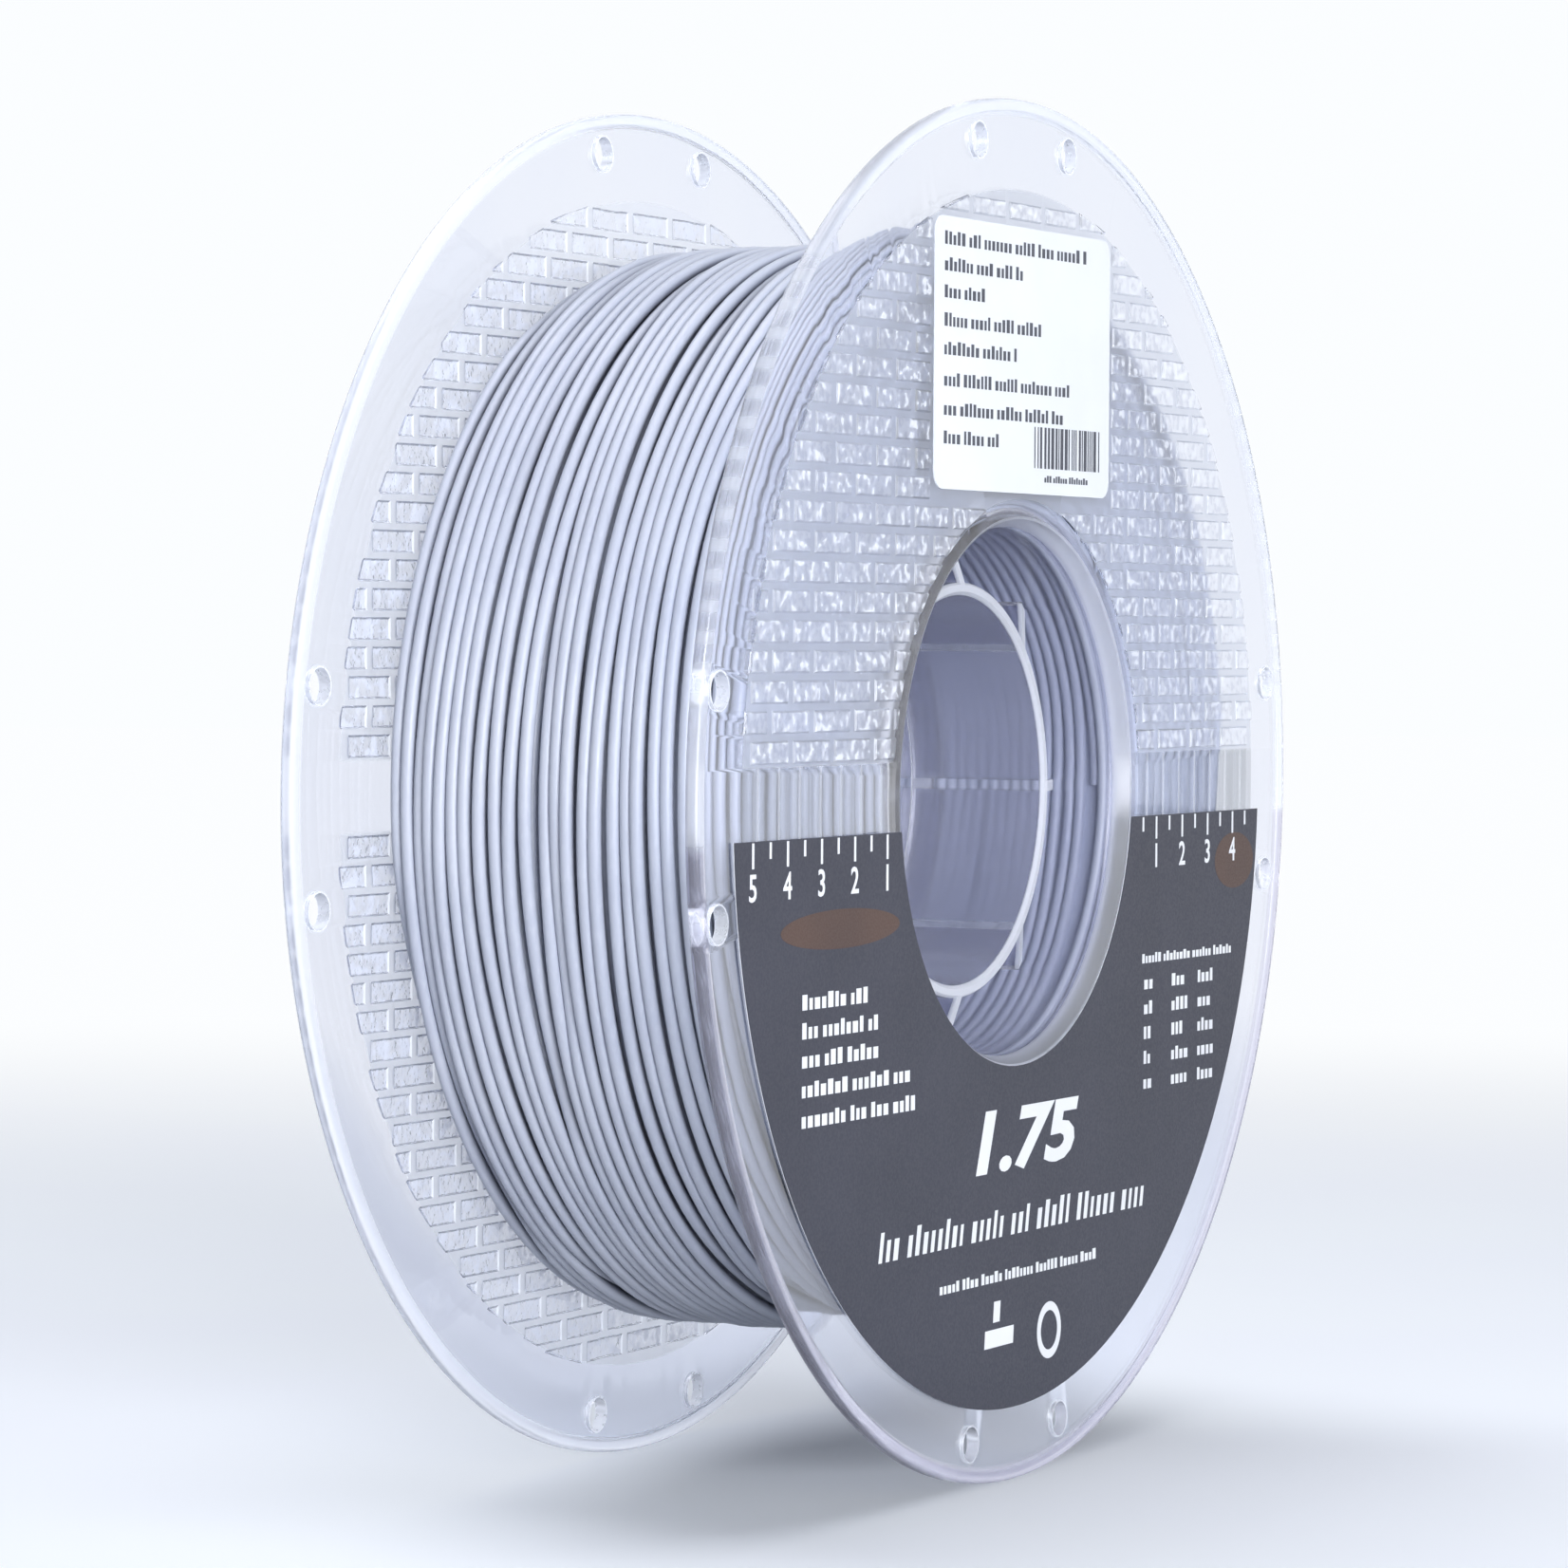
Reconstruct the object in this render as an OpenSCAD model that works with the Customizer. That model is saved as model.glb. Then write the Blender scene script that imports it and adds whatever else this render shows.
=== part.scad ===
// Full spool of 1.75 mm printing filament: two clear moulded halves that snap
// together at the middle of the drum, the wound filament, and two stuck labels.
// The spool's axis runs along Y, the labelled flange faces -Y, and +Z is up as
// the spool stands on its rims. The origin is the centre of the spindle bore.

/* [Spool] */
// Outer diameter of both flanges
spool_d = 200; // [190:1:220]
// Overall width across the two rims
spool_w = 64; // [56:1:76]

/* [Flange] */
// Thickness of the flange where it meets the drum
root_t = 3.6; // [3:0.1:4.4]
// Thickness of the flange at its rim
rim_t = 2.2; // [2:0.1:2.8]
// Radial width of the raised rim bead
rim_w = 1.8; // [1.4:0.1:2.2]
// Height of the rim bead above the flange's outer face
face_recess = 0.5; // [0.4:0.05:0.7]
// Rounding of the rim's edges
rim_round = 0.8; // [0.4:0.1:0.9]
// Fillet between the flange and the drum
root_fillet = 1.5; // [0.8:0.1:2]

/* [Filament holes] */
// Diameter of the holes that park the free end of the filament
hole_d = 5; // [4:0.1:5.4]
// Distance from the rim to the centres of the holes
hole_edge = 5.6; // [5:0.1:7]
// Angle of each hole from the spoke line of its pair
hole_angle = 9.3; // [7:0.1:12]

/* [Hub] */
// Radial width of the bevel at the hub's mouth
mouth_bevel = 1.1; // [0.6:0.1:1.6]
// Depth of the bevel that leads from the mouth to the drum's wall
mouth_depth = 2.8; // [2:0.1:4]
// Inner diameter of the drum
drum_id = 76.8; // [74:0.2:77]
// Thickness of the drum's wall
drum_wall = 2.4; // [2.2:0.1:3]
// Diameter of the spindle bore
bore_d = 57; // [52:0.5:58]
// Thickness of the sleeve round the spindle bore
sleeve_wall = 1.8; // [1.4:0.1:2.2]
// Depth of the sleeve's end below the rim
sleeve_depth = 10; // [8:0.5:12]
// Lead-in chamfer at each end of the spindle bore
sleeve_lead = 0.5; // [0.3:0.1:0.8]
// Number of ribs that carry the sleeve
rib_count = 8; // [6:1:10]
// Thickness of a rib
rib_t = 1.6; // [1.2:0.1:2]
// How much lower a rib's edge lies at the drum than at the sleeve
rib_drop = 3; // [1:0.5:5]

/* [Snap joint] */
// Length of the snap fingers on the front half
finger_l = 6; // [5:0.5:8]
// Thickness of a snap finger
finger_t = 1; // [0.8:0.05:1.1]
// Height of the barb at the tip of a finger
barb_h = 0.35; // [0.25:0.05:0.4]
// Clearance round the fingers in their socket
finger_fit = 0.15; // [0.1:0.05:0.2]
// Clearance on each side of a rib in the slot between two fingers
slot_fit = 0.6; // [0.4:0.1:1]
// Gap that keeps sleeve and ribs of one half off the middle plane
hub_gap = 0.1; // [0.1:0.05:0.3]

/* [Filament] */
// Diameter of the filament strand
filament_d = 1.75; // [1.7:0.05:1.8]
// Outer diameter of the wound filament
coil_d = 160; // [140:1:164]
// Clearance between the wound filament and the spool
coil_fit = 0.3; // [0.2:0.05:0.5]
// Gap between the outer layer and the core under it
seat_gap = 0.3; // [0.25:0.05:0.4]
// Distance from one layer of the winding to the next
layer_rise = 1.62; // [1.5:0.02:1.76]
// How far every second layer in the core stops short of the flange
layer_setback = 1; // [0.5:0.1:1.2]
// Distance from each end of the outer layer to the flange root
layer_inset = 1.1; // [0.8:0.1:3]
// Width and depth of the sloped shoulder at each end of the core
shoulder = 2.2; // [1.5:0.1:3]
// Smallest gap between two turns of the outer layer
turn_gap = 0.45; // [0.45:0.05:0.7]
// Most turns that the outer layer may have
turns_max = 24; // [12:1:24]
// Bend radius where the strand dives into the core
dive_bend = 3; // [2.5:0.1:4]

/* [Labels] */
// Distance from the rim to the dark label's round edge
label_edge = 10.6; // [9:0.1:16]
// Height of the dark label's straight top edge, measured from the axis
label_top = -4.7; // [-20:0.1:-1]
// Gap between the dark label and the hub's mouth
label_margin = 0.3; // [0.2:0.1:1]
// Width of the white label
note_w = 60; // [40:0.5:64]
// Height of the white label
note_h = 38.4; // [24:0.2:44]
// Distance from the hub's mouth up to the white label
note_gap = 3.7; // [2:0.1:6]
// Corner radius of the white label
note_r = 2.5; // [1:0.5:4]
// Thickness of both labels
label_t = 0.2; // [0.1:0.05:0.3]

/* [Hidden] */
$fn = 128;

half_w = spool_w / 2;
spool_r = spool_d / 2;
drum_ir = drum_id / 2;
mouth_r = drum_ir + mouth_bevel;
drum_or = drum_ir + drum_wall;
sleeve_ir = bore_d / 2;
sleeve_or = sleeve_ir + sleeve_wall;
face_y = -half_w + face_recess;
hole_circle_r = spool_r - hole_edge;
label_r = spool_r - label_edge;
note_z = mouth_r + note_gap + note_h / 2;
// Overlap that fuses a rib with the walls it joins
weld = 0.3;
// Cutters run this far past the faces that they cut
over = 1;
root_r = drum_or + root_fillet;

// Socket of the rear half, which takes the fingers of the front half
socket_r = drum_ir + finger_t + finger_fit;
socket_l = finger_l + finger_fit;
barb_l = 1.8;
barb_flat = 0.4;
barb_nose = 0.3;

// Outer layer: rings per turn, sides of the strand and the path's radius
ring_count = 24;
side_count = 6;
bend_steps = 3;
strand_r = filament_d / 2;
layer_r = coil_d / 2 - strand_r;
core_or = layer_r * cos(180 / ring_count) - strand_r - seat_gap;
core_ir = drum_or + coil_fit;
layer_w = spool_w - 2 * (root_t + layer_inset);
layer_span = layer_w - filament_d;
turns = min(turns_max, floor(layer_span / (filament_d + turn_gap) + 0.001));
pitch = layer_span / turns;
// The strand's ends run straight for this length, down into the core
dive_run = filament_d * 1.1;
pocket_fit = 0.4;
pocket_floor_r = layer_r - dive_bend - dive_run - seat_gap;
// Half-width of the flat that each layer leaves on the core's sides
layer_flat = 0.4;
first_layer_r = core_ir + root_fillet + layer_flat;
// Pairs of layers that show on a side, from the drum out to the pockets
layer_pairs = floor((pocket_floor_r - first_layer_r) / (2 * layer_rise));

// Points along an arc in a profile, from angle a0 to angle a1
function arc(centre, r, a0, a1, steps = 5) =
    [for (i = [0:steps]) let (a = a0 + (a1 - a0) * i / steps) centre + r * [cos(a), sin(a)]];

// Depth of the flange's inner face below the rim, at radius r
function inner_depth(r) = root_t + (rim_t - root_t) * (r - root_r) / (spool_r - root_r);

// Turns a profile of [radius, y] points about the spool's axis
module spin() {
    rotate([-90, 0, 0])
        rotate_extrude()
            children();
}

// Copies a piece that lies along +X to evenly spaced places round the axis
module around(count) {
    for (i = [0 : count - 1])
        rotate([0, -360 * i / count, 0])
            children();
}

// Flange and half of the drum, of one half
module flange_and_drum() {
    profile = concat(
        [[mouth_r, face_recess], [drum_ir, mouth_depth], [drum_ir, half_w], [drum_or, half_w]],
        arc([root_r, root_t + root_fillet], root_fillet, 180, 270),
        arc([spool_r - rim_round, rim_t - rim_round], rim_round, 90, 0),
        arc([spool_r - rim_round, rim_round], rim_round, 0, -90),
        [[spool_r - rim_w, 0], [spool_r - rim_w - face_recess, face_recess]]);
    spin()
        translate([0, -half_w])
            polygon(profile);
}

// Half of the sleeve that the spindle passes through
module sleeve() {
    end = half_w - hub_gap;
    profile = [[sleeve_ir + sleeve_lead, sleeve_depth], [sleeve_or, sleeve_depth],
               [sleeve_or, end], [sleeve_ir, end], [sleeve_ir, sleeve_depth + sleeve_lead]];
    spin()
        translate([0, -half_w])
            polygon(profile);
}

// Radial ribs that carry the sleeve, each with its sloped outer edge
module ribs() {
    inner = sleeve_or - weld;
    outer = drum_ir + weld;
    profile = [[inner, sleeve_depth], [outer, sleeve_depth + rib_drop],
               [outer, half_w - hub_gap], [inner, half_w - hub_gap]];
    around(rib_count)
        translate([0, -half_w, 0])
            linear_extrude(rib_t, center = true)
                polygon(profile);
}

// Holes that park the filament's end: a pair on each of four spoke lines
module filament_holes() {
    around(4)
        for (side = [-1, 1])
            rotate([0, side * hole_angle, 0])
                translate([hole_circle_r, -half_w - over, 0])
                    rotate([-90, 0, 0])
                        cylinder(h = root_t + 2 * over, d = hole_d, $fn = 48);
}

// Barbed spigot, cut into one finger between each two ribs
module snap_fingers() {
    back = drum_ir + finger_t;
    tip = finger_l;
    profile = [[drum_ir, -over], [drum_ir, tip], [back - barb_nose, tip],
               [back + barb_h, tip - barb_l + 2 * barb_flat],
               [back + barb_h, tip - barb_l + barb_flat], [back, tip - barb_l], [back, -over]];
    difference() {
        spin()
            polygon(profile);
        around(rib_count)
            translate([drum_ir - over, 0, -rib_t / 2 - slot_fit])
                cube([drum_wall + over, finger_l + over, rib_t + 2 * slot_fit]);
    }
}

// Undercut socket for the fingers, given as the space that it takes
module finger_socket() {
    undercut = socket_r + barb_h;
    profile = [[drum_ir - over, -over], [socket_r, -over],
               [socket_r, finger_l - barb_l - finger_fit],
               [undercut, finger_l - barb_l - finger_fit + barb_flat],
               [undercut, socket_l], [drum_ir - over, socket_l]];
    spin()
        polygon(profile);
}

// Feet of the rear ribs, which stand in the socket and key the two halves
module rib_feet() {
    around(rib_count)
        translate([sleeve_or - weld, hub_gap, -rib_t / 2])
            cube([socket_r + barb_h + weld - sleeve_or + weld, socket_l, rib_t]);
}

// What both halves share, built as the front one
module half_shell() {
    difference() {
        union() {
            flange_and_drum();
            sleeve();
            ribs();
        }
        filament_holes();
    }
}

module front_half() {
    color([0.86, 0.89, 0.98, 0.45])
        union() {
            half_shell();
            snap_fingers();
        }
}

module rear_half() {
    color([0.80, 0.84, 0.96, 0.45])
        union() {
            difference() {
                mirror([0, 1, 0])
                    half_shell();
                finger_socket();
            }
            rib_feet();
        }
}

// Places a piece at one end of the outer layer: -1 is its start, 1 its end
module at_layer_end(end) {
    turn_angle = end < 0 ? 0 : 360 * turns;
    rotate([0, -turn_angle, 0])
        translate([0, end * layer_span / 2, 0])
            children();
}

// Pocket in the core where an end of the outer layer dives in
module dive_pocket(end) {
    pocket_w = filament_d + 2 * pocket_fit;
    pocket_l = dive_bend + strand_r + pocket_fit;
    at_layer_end(end)
        translate([pocket_floor_r, -pocket_w / 2, end < 0 ? -pocket_l : -over])
            cube([core_or - pocket_floor_r + over, pocket_w, pocket_l + over]);
}

// How far the core reaches towards a flange at radius r
function core_y(r) = half_w - inner_depth(r) - coil_fit;

// End of one layer on the core's side: the odd ones stop short of the flange
function layer_end(k) =
    let (r = first_layer_r + k * layer_rise)
    let (y = core_y(r - layer_flat) - (k % 2) * layer_setback)
    [[r - layer_flat, y], [r + layer_flat, y]];

// All the turns under the outer layer, as one body with stepped sides and sloped shoulders
module filament_core() {
    edge_r = core_or - shoulder;
    steps = [for (k = [0 : 2 * layer_pairs]) for (point = layer_end(k)) point];
    side = concat(
        [[core_ir, core_y(core_ir) - root_fillet]], steps,
        [[edge_r, core_y(edge_r)], [core_or, core_y(edge_r) - shoulder]]);
    mirrored = [for (i = [len(side) - 1 : -1 : 0]) [side[i][0], -side[i][1]]];
    color([0.62, 0.65, 0.74])
        difference() {
            spin()
                polygon(concat(side, mirrored));
            dive_pocket(-1);
            dive_pocket(1);
        }
}

// One ring of the strand: its centre, and the outward direction of its plane
function outward(a) = [cos(a), 0, sin(a)];
function forward(a) = [-sin(a), 0, cos(a)];
function bend_normal(a, bend) = cos(bend) * outward(a) + sin(bend) * forward(a);
function bend_ring(a, y, bend, run) =
    let (normal = bend_normal(a, bend))
    [(layer_r - dive_bend) * outward(a) + dive_bend * normal + [0, y, 0] - run * outward(a), normal];
function turn_ring(step) =
    let (a = 360 * step / ring_count)
    [layer_r * outward(a) + [0, -layer_span / 2 + pitch * step / ring_count, 0], outward(a)];

last_step = turns * ring_count;
last_angle = 360 * turns;
end_y = layer_span / 2;
strand_rings = concat(
    [bend_ring(0, -end_y, -90, dive_run)],
    [for (i = [bend_steps : -1 : 1]) bend_ring(0, -end_y, -90 * i / bend_steps, 0)],
    [for (step = [0 : last_step]) turn_ring(step)],
    [for (i = [1 : bend_steps]) bend_ring(last_angle, end_y, 90 * i / bend_steps, 0)],
    [bend_ring(last_angle, end_y, 90, dive_run)]);

// Least distance between turns: each ring against those about one turn later
function least(list) = min(list);
ring_total = len(strand_rings);
near_turn = [for (i = [0 : ring_total - 1])
    for (j = [i + ring_count / 2 : min(i + 3 * ring_count / 2, ring_total - 1)])
        norm(strand_rings[i][0] - strand_rings[j][0])];
echo(turns = turns, pitch = pitch, least_gap = least(near_turn) - filament_d);

// Outer layer of the winding, one unbroken strand
module filament_outer_layer() {
    points = [for (ring = strand_rings)
        for (k = [0 : side_count - 1])
            let (a = 360 * k / side_count)
            ring[0] + strand_r * (cos(a) * ring[1] + sin(a) * [0, 1, 0])];
    walls = [for (i = [0 : ring_total - 2])
        for (k = [0 : side_count - 1])
            let (p = i * side_count + k)
            let (q = i * side_count + (k + 1) % side_count)
            for (face = [[p, q, q + side_count], [p, q + side_count, p + side_count]])
                face];
    last = (ring_total - 1) * side_count;
    caps = concat(
        [for (k = [1 : side_count - 2]) [0, k + 1, k]],
        [for (k = [1 : side_count - 2]) [last, last + k, last + k + 1]]);
    color([0.74, 0.76, 0.84])
        polyhedron(points, concat(walls, caps));
}

// Puts an outline drawn in X and Z onto the front flange's outer face
module on_front_face() {
    translate([0, face_y, 0])
        rotate([90, 0, 0])
            linear_extrude(label_t)
                children();
}

// Dark label: the lower part of the flange, cut out round the hub's mouth
module face_label() {
    color([0.29, 0.31, 0.37])
        on_front_face()
            difference() {
                circle(r = label_r);
                circle(r = mouth_r + label_margin);
                translate([-label_r - over, label_top])
                    square([2 * (label_r + over), label_r + over - label_top]);
            }
}

// White label above the hub, a rectangle with round corners
module note_label() {
    color([0.94, 0.95, 0.98])
        on_front_face()
            translate([0, note_z]) {
                square([note_w - 2 * note_r, note_h], center = true);
                square([note_w, note_h - 2 * note_r], center = true);
                for (sx = [-1, 1])
                    for (sz = [-1, 1])
                        translate([sx * (note_w / 2 - note_r), sz * (note_h / 2 - note_r)])
                            circle(r = note_r, $fn = 32);
            }
}

front_half();
rear_half();
filament_core();
filament_outer_layer();
face_label();
note_label();
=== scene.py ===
"""Looks of a clear filament spool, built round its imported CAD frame.

All lengths are in metres, in the CAD frame: the spool's axis is Y, the labelled flange faces -Y, +Z is up.
"""

import math
import random
from types import SimpleNamespace

import bmesh
import bpy
import numpy as np
from mathutils import Matrix, Vector


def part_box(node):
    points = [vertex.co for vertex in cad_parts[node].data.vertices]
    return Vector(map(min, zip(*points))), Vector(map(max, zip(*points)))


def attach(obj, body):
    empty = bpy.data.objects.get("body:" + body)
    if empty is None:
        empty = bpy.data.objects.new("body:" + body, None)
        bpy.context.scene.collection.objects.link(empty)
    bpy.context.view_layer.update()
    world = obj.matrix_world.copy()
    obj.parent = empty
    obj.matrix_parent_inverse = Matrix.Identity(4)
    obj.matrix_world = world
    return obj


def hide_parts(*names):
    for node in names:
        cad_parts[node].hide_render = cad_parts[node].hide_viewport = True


MM = 0.001

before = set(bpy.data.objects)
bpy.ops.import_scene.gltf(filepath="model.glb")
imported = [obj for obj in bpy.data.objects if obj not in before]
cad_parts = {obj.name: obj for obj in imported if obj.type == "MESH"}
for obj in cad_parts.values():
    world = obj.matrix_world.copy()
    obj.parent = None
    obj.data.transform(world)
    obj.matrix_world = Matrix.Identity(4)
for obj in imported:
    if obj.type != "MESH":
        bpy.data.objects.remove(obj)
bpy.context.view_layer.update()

# ---- sizes, from the frame or as in the CAD
front_low, front_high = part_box("front_half")
label_low, label_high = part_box("face_label")
note_low, note_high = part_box("note_label")
_, layer_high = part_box("filament_outer_layer")

SPOOL_R = front_high.x
HALF_W = -front_low.y
FACE_Y = label_high.y
FACE_RECESS = HALF_W + FACE_Y
LABEL_TOP = label_high.z
LABEL_Y = label_low.y
COIL_R = layer_high.x

MOUTH_R = 39.5 * MM
MOUTH_DEPTH = 2.8 * MM
DRUM_IR = 38.4 * MM
DRUM_OR = 40.8 * MM
SLEEVE_IR = 28.5 * MM
SLEEVE_OR = 30.3 * MM
SLEEVE_DEPTH = 10 * MM
SLEEVE_LEAD = 0.5 * MM
ROOT_T = 3.6 * MM
RIM_T = 2.2 * MM
RIM_W = 1.8 * MM
RIM_ROUND = 0.8 * MM
ROOT_FILLET = 1.5 * MM
HOLE_R = 2.5 * MM
HOLE_CIRCLE_R = 94.4 * MM
HOLE_ANGLE = 9.3
RIB_COUNT = 8
RIB_T = 1.6 * MM
RIB_DROP = 3 * MM
FINGER_L = 6 * MM
FINGER_T = 1 * MM
FINGER_FIT = 0.15 * MM
BARB_H = 0.35 * MM
SLOT_FIT = 0.6 * MM
HUB_GAP = 0.1 * MM

# Brick relief on the flanges' outer faces, with a plain sight strip along X
TILE_L = 12.2 * MM
TILE_H = 4.03 * MM
TILE_RISE = 0.3 * MM
TILE_SLOPE = 0.3 * MM
MORTAR_LEVEL, MORTAR_UPRIGHT = 0.9 * MM, 1.5 * MM
STRIP_HALF = 4.9 * MM
TILES_IN_R = 42.2 * MM
TILES_OUT_R = 87.2 * MM
LINE_PITCH = 6.1 * MM

STRAND_D = 1.75 * MM
MOULDED_SMOOTH, STRAND_SMOOTH = 32, 60


# ---- small helpers
def arc(cx, cy, r, a0, a1, steps):
    """Points along an arc from angle a0 to a1, in degrees."""
    angles = [math.radians(a0 + (a1 - a0) * i / steps) for i in range(steps + 1)]
    return [(cx + r * math.cos(a), cy + r * math.sin(a)) for a in angles]


def add_mesh(name, verts, faces, smooth_angle=None):
    """Makes a mesh object and links it; smooth_angle in degrees keeps the sharper edges sharp."""
    mesh = bpy.data.meshes.new(name)
    mesh.from_pydata([tuple(v) for v in verts], [], [tuple(f) for f in faces])
    mesh.validate()
    obj = bpy.data.objects.new(name, mesh)
    bpy.context.scene.collection.objects.link(obj)
    if smooth_angle is not None:
        shade_smooth(obj, smooth_angle)
    return obj


def shade_smooth(obj, angle):
    """Smooth shading with the edges sharper than angle, in degrees, left sharp."""
    mesh = obj.data
    mesh.polygons.foreach_set("use_smooth", [abs(p.normal.y) < 0.9999 for p in mesh.polygons])
    mesh.set_sharp_from_angle(angle=math.radians(angle))


def band(here, there, count, turned=False):
    """Quads between two closed rings of count points, which start at the indices here and there."""
    ends = [(k, (k + 1) % count) for k in range(count)]
    if turned:
        return [(here + k, there + k, there + n, here + n) for k, n in ends]
    return [(here + k, here + n, there + n, there + k) for k, n in ends]


def spun(profile, steps):
    """Turns a closed profile of (radius, y) points about Y into a closed shell of vertices and faces."""
    count = len(profile)
    verts, faces = [], []
    for i in range(steps):
        a = 2 * math.pi * i / steps
        verts += [(r * math.cos(a), y, r * math.sin(a)) for r, y in profile]
        faces += band(i * count, (i + 1) % steps * count, count)
    return verts, faces


def extruded(outline, low, high):
    """A closed prism over an outline of (x, z) points, from y = low to y = high."""
    count = len(outline)
    verts = [(x, low, z) for x, z in outline] + [(x, high, z) for x, z in outline]
    faces = [tuple(range(count)), tuple(range(2 * count - 1, count - 1, -1))]
    return verts, faces + band(0, count, count, turned=True)


def merged(parts):
    """Joins several (verts, faces) lists into one."""
    verts, faces = [], []
    for part_verts, part_faces in parts:
        start = len(verts)
        verts += list(part_verts)
        faces += [tuple(i + start for i in face) for face in part_faces]
    return verts, faces


def boolean(obj, operation, verts, faces):
    """Applies one boolean of a closed mesh to obj."""
    tool = add_mesh("tool", verts, faces)
    outward(tool)
    mod = obj.modifiers.new("cut", "BOOLEAN")
    mod.operation = operation
    mod.solver = "MANIFOLD"
    mod.object = tool
    apply_modifiers(obj)
    bpy.data.objects.remove(tool)


def apply_modifiers(obj):
    """Puts the modifiers' result in the object's own mesh."""
    graph = bpy.context.evaluated_depsgraph_get()
    mesh = bpy.data.meshes.new_from_object(obj.evaluated_get(graph))
    obj.modifiers.clear()
    old = obj.data
    obj.data = mesh
    bpy.data.meshes.remove(old)


def outward(obj):
    """Turns all faces outward."""
    bm = bmesh.new()
    bm.from_mesh(obj.data)
    bmesh.ops.recalc_face_normals(bm, faces=bm.faces)
    bm.to_mesh(obj.data)
    bm.free()


# ---- clear halves of the spool
def inner_depth(r):
    """Depth of the flange's inner face below the rim, at radius r."""
    root_r = DRUM_OR + ROOT_FILLET
    return ROOT_T + (RIM_T - ROOT_T) * (r - root_r) / (SPOOL_R - root_r)


def flange_profile():
    """Outline of the flange and half the drum as (radius, depth below the rim)."""
    root_r = DRUM_OR + ROOT_FILLET
    steps = 4
    mouth = [(MOUTH_R + 0.3 * MM, FACE_RECESS), (MOUTH_R, FACE_RECESS + 0.15 * MM),
             (DRUM_IR + 0.15 * MM, MOUTH_DEPTH - 0.2 * MM), (DRUM_IR, MOUTH_DEPTH + 0.3 * MM)]
    drum = [(DRUM_IR, HALF_W), (DRUM_OR, HALF_W)]
    root = arc(root_r, ROOT_T + ROOT_FILLET, ROOT_FILLET, 180, 270, steps)
    rim = arc(SPOOL_R - RIM_ROUND, RIM_T - RIM_ROUND, RIM_ROUND, 90, 0, steps)
    rim += arc(SPOOL_R - RIM_ROUND, RIM_ROUND, RIM_ROUND, 0, -90, steps)
    bead_r = SPOOL_R - RIM_W
    bead = [(bead_r + 0.15 * MM, 0), (bead_r, 0.1 * MM), (bead_r - FACE_RECESS, FACE_RECESS - 0.05 * MM),
            (bead_r - FACE_RECESS - 0.15 * MM, FACE_RECESS)]
    return mouth + drum + root + rim + bead


def sleeve_profile():
    """Outline of half the sleeve round the bore as (radius, depth below the rim)."""
    end = HALF_W - HUB_GAP
    edge = 0.3 * MM
    return [(SLEEVE_IR + SLEEVE_LEAD, SLEEVE_DEPTH), (SLEEVE_OR - edge, SLEEVE_DEPTH),
            (SLEEVE_OR, SLEEVE_DEPTH + edge), (SLEEVE_OR, end), (SLEEVE_IR, end),
            (SLEEVE_IR, SLEEVE_DEPTH + SLEEVE_LEAD)]


def turned_about_axis(part, angle):
    """A copy of (verts, faces) turned about Y by angle in degrees, X towards Z."""
    verts, faces = part
    c, s = math.cos(math.radians(angle)), math.sin(math.radians(angle))
    return [(x * c - z * s, y, x * s + z * c) for x, y, z in verts], faces


def rib_parts(outer, near, far, slope):
    """The ribs, from the sleeve to radius outer, between the depths near and far."""
    inner = SLEEVE_OR - 0.3 * MM
    outline = [(inner, near), (outer, near + slope), (outer, far), (inner, far)]
    verts = [(r, -HALF_W + d, side * RIB_T / 2) for side in (-1, 1) for r, d in outline]
    rib = verts, [(0, 1, 2, 3), (7, 6, 5, 4)] + band(0, 4, 4, turned=True)
    return merged([turned_about_axis(rib, 360 * i / RIB_COUNT) for i in range(RIB_COUNT)])


def hole_parts():
    """The filament holes: a pair on each of four spoke lines."""
    parts = []
    steps = 32
    for spoke in range(4):
        for side in (-1, 1):
            a = math.radians(90 * spoke + side * HOLE_ANGLE)
            cx, cz = HOLE_CIRCLE_R * math.cos(a), HOLE_CIRCLE_R * math.sin(a)
            ring = arc(cx, cz, HOLE_R, 0, 360 * (steps - 1) / steps, steps - 1)
            parts.append(extruded(ring, -HALF_W - MM, -HALF_W + ROOT_T + MM))
    return merged(parts)


def finger_parts():
    """Barbed snap fingers of the front half, one between each two ribs."""
    back = DRUM_IR + FINGER_T
    outline = [(DRUM_IR, -MM), (DRUM_IR, FINGER_L), (back - 0.3 * MM, FINGER_L),
               (back + BARB_H, FINGER_L - 1 * MM), (back + BARB_H, FINGER_L - 1.4 * MM),
               (back, FINGER_L - 1.8 * MM), (back, -MM)]
    gap = math.asin((RIB_T / 2 + SLOT_FIT) / DRUM_IR)
    span = 2 * math.pi / RIB_COUNT - 2 * gap
    steps = 12
    parts = []
    count = len(outline)
    for i in range(RIB_COUNT):
        start = 2 * math.pi * i / RIB_COUNT + gap
        verts = []
        for s in range(steps + 1):
            a = start + span * s / steps
            verts += [(r * math.cos(a), y, r * math.sin(a)) for r, y in outline]
        faces = [tuple(range(count)), tuple(range(len(verts) - 1, len(verts) - count - 1, -1))]
        for s in range(steps):
            faces += band(s * count, (s + 1) * count, count, turned=True)
        parts.append((verts, faces))
    return merged(parts)


def socket_profile():
    """Outline of the undercut socket for the fingers as (radius, y), open towards the front half."""
    socket_r = DRUM_IR + FINGER_T + FINGER_FIT
    undercut = socket_r + BARB_H
    back = FINGER_L - 1.8 * MM - FINGER_FIT
    end = FINGER_L + FINGER_FIT
    return [(DRUM_IR - MM, -MM), (socket_r, -MM), (socket_r, back), (undercut, back + 0.4 * MM),
            (undercut, end), (DRUM_IR - MM, end)]


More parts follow.
